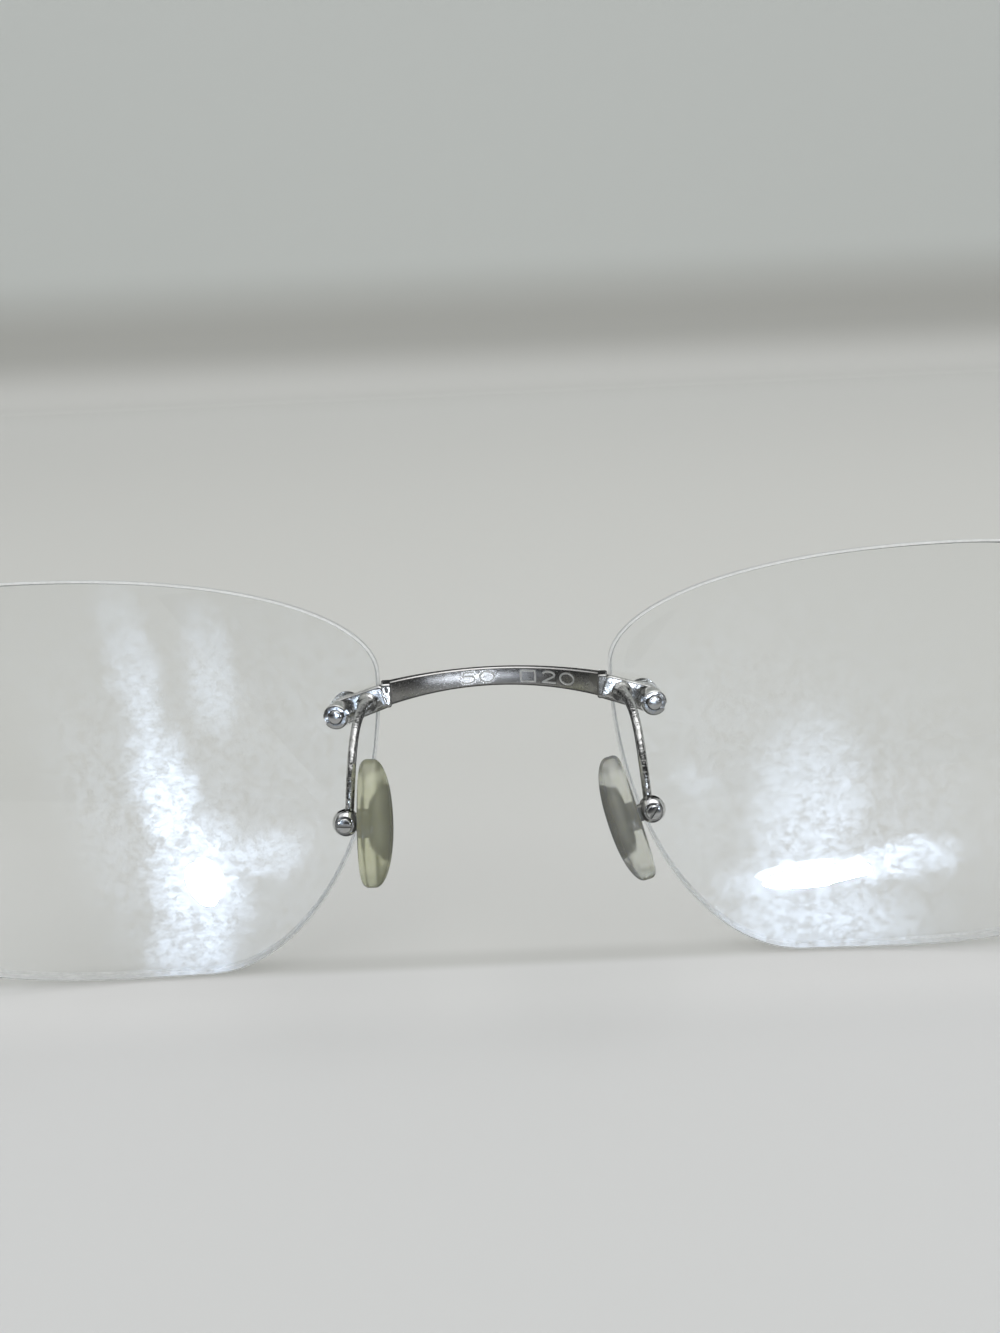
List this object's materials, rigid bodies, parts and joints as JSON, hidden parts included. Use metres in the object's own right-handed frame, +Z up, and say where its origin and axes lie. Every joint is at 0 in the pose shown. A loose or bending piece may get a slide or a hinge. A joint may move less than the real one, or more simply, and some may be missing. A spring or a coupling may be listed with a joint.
{
  "type": "rimless spectacles",
  "caption": "Rimless spectacles with drilled clear lenses, a bowed metal bridge strip, rocking nose pads on wire arms, and folding metal temples with plastic tips.",
  "frame": {"origin": "bottom centre of the bounding box, on the surface that the lens bottoms and the temple tips stand on", "axes": "+X to the wearer's right, +Y forward from the temple tips to the lenses, +Z up"},
  "size_m": [0.1378, 0.1526, 0.0359],
  "materials": {
    "polished_metal": "polished silver plating, lightly worn",
    "clear_lens": "clear and colourless, polished, with smudges",
    "aged_silicone": "translucent, yellowed with age",
    "clear_nylon": "translucent",
    "pad_core_metal": "dull and darkened",
    "tip_plastic": "translucent smoke, glossy"
  },
  "bodies": {
    "front": {"bridge": "polished_metal", "lens_left": "clear_lens", "mount_screw_nasal_left": "polished_metal", "washer_nasal_left": "polished_metal", "bushing_nasal_left": "clear_nylon", "nut_nasal_left": "polished_metal", "mount_screw_temporal_left": "polished_metal", "washer_temporal_left": "polished_metal", "bushing_temporal_left": "clear_nylon", "nut_temporal_left": "polished_metal", "pad_arm_left": "polished_metal", "pad_box_left": "polished_metal", "pad_screw_left": "polished_metal", "end_piece_left": "polished_metal", "hinge_front_leaf_left": "polished_metal", "hinge_screw_left": "polished_metal", "lens_right": "clear_lens", "mount_screw_nasal_right": "polished_metal", "washer_nasal_right": "polished_metal", "bushing_nasal_right": "clear_nylon", "nut_nasal_right": "polished_metal", "mount_screw_temporal_right": "polished_metal", "washer_temporal_right": "polished_metal", "bushing_temporal_right": "clear_nylon", "nut_temporal_right": "polished_metal", "pad_arm_right": "polished_metal", "pad_box_right": "polished_metal", "pad_screw_right": "polished_metal", "end_piece_right": "polished_metal", "hinge_front_leaf_right": "polished_metal", "hinge_screw_right": "polished_metal"},
    "pad_left": {"pad_core_left": "pad_core_metal", "nose_pad_left": "aged_silicone"},
    "temple_left": {"hinge_temple_leaf_left": "polished_metal", "temple_left": "polished_metal", "temple_tip_left": "tip_plastic"},
    "pad_right": {"pad_core_right": "pad_core_metal", "nose_pad_right": "aged_silicone"},
    "temple_right": {"hinge_temple_leaf_right": "polished_metal", "temple_right": "polished_metal", "temple_tip_right": "tip_plastic"}
  },
  "joints": [
    {"name": "temple_left_fold", "type": "hinge", "parent": "front", "child": "temple_left", "pos_m": [-0.06588, 0.0543, 0.02479], "axis": [0, 0.0419, 0.9991], "range_deg": [0, 90]},
    {"name": "temple_right_fold", "type": "hinge", "parent": "front", "child": "temple_right", "pos_m": [0.06588, 0.0543, 0.02479], "axis": [0, -0.0419, -0.9991], "range_deg": [0, 85]},
    {"name": "pad_left_rock", "type": "hinge", "parent": "front", "child": "pad_left", "pos_m": [-0.0122, 0.06125, 0.01748], "axis": [0, 0.9836, -0.1805], "range_deg": [-2, 16]},
    {"name": "pad_right_rock", "type": "hinge", "parent": "front", "child": "pad_right", "pos_m": [0.0122, 0.06125, 0.01748], "axis": [0, 0.9836, -0.1805], "range_deg": [-2, 16]}
  ]
}
